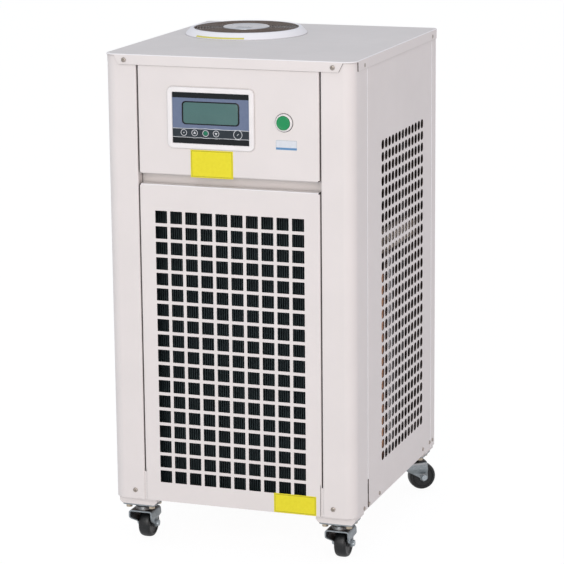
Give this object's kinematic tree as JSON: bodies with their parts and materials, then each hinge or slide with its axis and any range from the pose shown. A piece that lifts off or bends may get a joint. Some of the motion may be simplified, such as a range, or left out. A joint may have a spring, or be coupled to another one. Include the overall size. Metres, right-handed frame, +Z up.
{
  "type": "laser chiller",
  "caption": "Upright sheet-metal water chiller for a laser on swivel casters, with a square-hole front grille, a slotted side, a top fan in a raised ring, a controller and a push button.",
  "frame": {"origin": "on the floor below the middle of the outline's plan", "axes": "+Z up, +Y from the controller's side towards the rear, +X to the right seen from the front"},
  "size_m": [0.44, 0.5128, 0.866],
  "materials": {
    "cream_paint": "satin",
    "inner_steel": "satin",
    "zinc": "satin",
    "bright_disc": "satin",
    "black_metal": "satin",
    "fan_plastic": "matte",
    "white_plastic": "gloss",
    "face_film": "satin",
    "lcd_glass": "gloss",
    "grey_plastic": "matte",
    "button_green": "gloss",
    "fin_aluminium": "satin",
    "copper": "satin",
    "tank_foam": "matte",
    "sleeve_foam": "matte",
    "grommet_rubber": "matte",
    "caster_black": "satin",
    "brass_fitting": "satin",
    "black_plastic": "matte",
    "clear_gauge": "gloss"
  },
  "bodies": {
    "cabinet": {"base_tray": "cream_paint", "front_column_right": "cream_paint", "front_column_left": "cream_paint", "rear_column_right": "cream_paint", "rear_column_left": "cream_paint", "cross_rail": "cream_paint", "electrics_shelf": "inner_steel", "lid": "cream_paint", "control_panel": "cream_paint", "side_panel_right": "cream_paint", "side_panel_left": "cream_paint", "rear_panel": "cream_paint", "caster_pads": "cream_paint", "caster_plates": "zinc", "caster_bolts": "zinc", "fan_ring": "cream_paint", "fan_duct": "black_metal", "fan_motor": "black_metal", "fan_guard": "black_metal", "guard_disc": "bright_disc", "controller_bezel": "white_plastic", "controller_face": "face_film", "lcd_window": "lcd_glass", "controller_module": "grey_plastic", "button_bezel": "white_plastic", "button_switch": "grey_plastic", "condenser_core": "fin_aluminium", "condenser_plates": "inner_steel", "compressor": "black_metal", "compressor_grommets": "grommet_rubber", "water_tank": "tank_foam", "tank_lid": "grey_plastic", "pump_motor": "inner_steel", "pump_head": "black_plastic", "filter_drier": "copper", "suction_pipe": "copper", "liquid_pipe": "copper", "insulated_pipe": "sleeve_foam", "frame_post": "zinc", "electrics_box": "inner_steel", "water_outlet": "brass_fitting", "water_inlet": "brass_fitting", "drain_plug": "brass_fitting", "filler_neck": "black_plastic", "level_gauge": "black_plastic", "gauge_window": "clear_gauge", "cable_gland": "black_plastic"},
    "front_grille": {"front_grille_panel": "cream_paint"},
    "button": {"button_cap": "button_green"},
    "fan": {"fan_rotor": "fan_plastic"},
    "cap": {"filler_cap": "black_plastic"},
    "swivel_front_left": {"fork_front_left": "zinc"},
    "roller_front_left": {"wheel_front_left": "caster_black"},
    "swivel_front_right": {"fork_front_right": "zinc"},
    "roller_front_right": {"wheel_front_right": "caster_black"},
    "swivel_rear_left": {"fork_rear_left": "zinc"},
    "roller_rear_left": {"wheel_rear_left": "caster_black"},
    "swivel_rear_right": {"fork_rear_right": "zinc"},
    "roller_rear_right": {"wheel_rear_right": "caster_black"}
  },
  "joints": [
    {"name": "front_grille_pull", "type": "slide", "parent": "cabinet", "child": "front_grille", "axis": [0, -1, 0], "range_m": [0, 0.15]},
    {"name": "button_press", "type": "slide", "parent": "cabinet", "child": "button", "axis": [0, 1, 0], "range_m": [0, 0.003], "stiffness_N_per_m": 600, "springref_m": -0.001},
    {"name": "fan_spin", "type": "hinge", "parent": "cabinet", "child": "fan", "pos_m": [-0.084, 0.07025, 0.825], "axis": [0, 0, 1], "continuous": true},
    {"name": "filler_cap_turn", "type": "hinge", "parent": "cabinet", "child": "cap", "pos_m": [-0.12, 0.24045, 0.725], "axis": [0, 1, 0], "range_deg": [0, 360]},
    {"name": "swivel_front_left", "type": "hinge", "parent": "cabinet", "child": "swivel_front_left", "pos_m": [-0.179, -0.21375, 0.0565], "axis": [0, 0, 1], "continuous": true},
    {"name": "roll_front_left", "type": "hinge", "parent": "swivel_front_left", "child": "roller_front_left", "pos_m": [-0.179, -0.19375, 0.025], "axis": [1, 0, 0], "continuous": true},
    {"name": "swivel_front_right", "type": "hinge", "parent": "cabinet", "child": "swivel_front_right", "pos_m": [0.179, -0.21375, 0.0565], "axis": [0, 0, 1], "continuous": true},
    {"name": "roll_front_right", "type": "hinge", "parent": "swivel_front_right", "child": "roller_front_right", "pos_m": [0.179, -0.19375, 0.025], "axis": [1, 0, 0], "continuous": true},
    {"name": "swivel_rear_left", "type": "hinge", "parent": "cabinet", "child": "swivel_rear_left", "pos_m": [-0.179, 0.20625, 0.0565], "axis": [0, 0, 1], "continuous": true},
    {"name": "roll_rear_left", "type": "hinge", "parent": "swivel_rear_left", "child": "roller_rear_left", "pos_m": [-0.18584, 0.22504, 0.025], "axis": [0.9397, 0.342, 0], "continuous": true},
    {"name": "swivel_rear_right", "type": "hinge", "parent": "cabinet", "child": "swivel_rear_right", "pos_m": [0.179, 0.20625, 0.0565], "axis": [0, 0, 1], "continuous": true},
    {"name": "roll_rear_right", "type": "hinge", "parent": "swivel_rear_right", "child": "roller_rear_right", "pos_m": [0.19538, 0.21772, 0.025], "axis": [0.5736, -0.8192, 0], "continuous": true}
  ]
}
